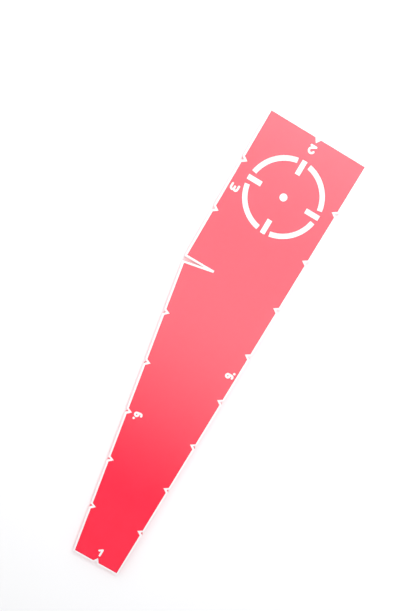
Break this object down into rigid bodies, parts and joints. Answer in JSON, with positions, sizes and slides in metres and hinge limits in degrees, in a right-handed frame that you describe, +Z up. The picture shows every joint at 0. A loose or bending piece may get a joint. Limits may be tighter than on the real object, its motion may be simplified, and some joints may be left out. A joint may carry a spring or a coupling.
{
  "type": "measuring gauge",
  "caption": "Flat tapered gauge for short tabletop distances: a red acrylic sheet with V notches along graduated edges, a wedge slit, white numerals and a white reticle.",
  "frame": {"origin": "middle of the bounding box, on the underside", "axes": "+Z up out of the marked face, +Y towards the wide end, +X towards the long straight edge"},
  "size_m": [0.0508, 0.2286, 0.003],
  "materials": {
    "red_acrylic": "polished sheet, slightly translucent, laser-cut edges",
    "white_fill": "satin white enamel, just below the face"
  },
  "bodies": {
    "root": {"gauge_sheet": "red_acrylic", "edge_line": "white_fill", "numeral_1": "white_fill", "numeral_2": "white_fill", "numeral_3": "white_fill", "numeral_6": "white_fill", "numeral_9": "white_fill", "reticle_arcs": "white_fill", "reticle_ticks": "white_fill", "reticle_dot": "white_fill"}
  },
  "joints": []
}
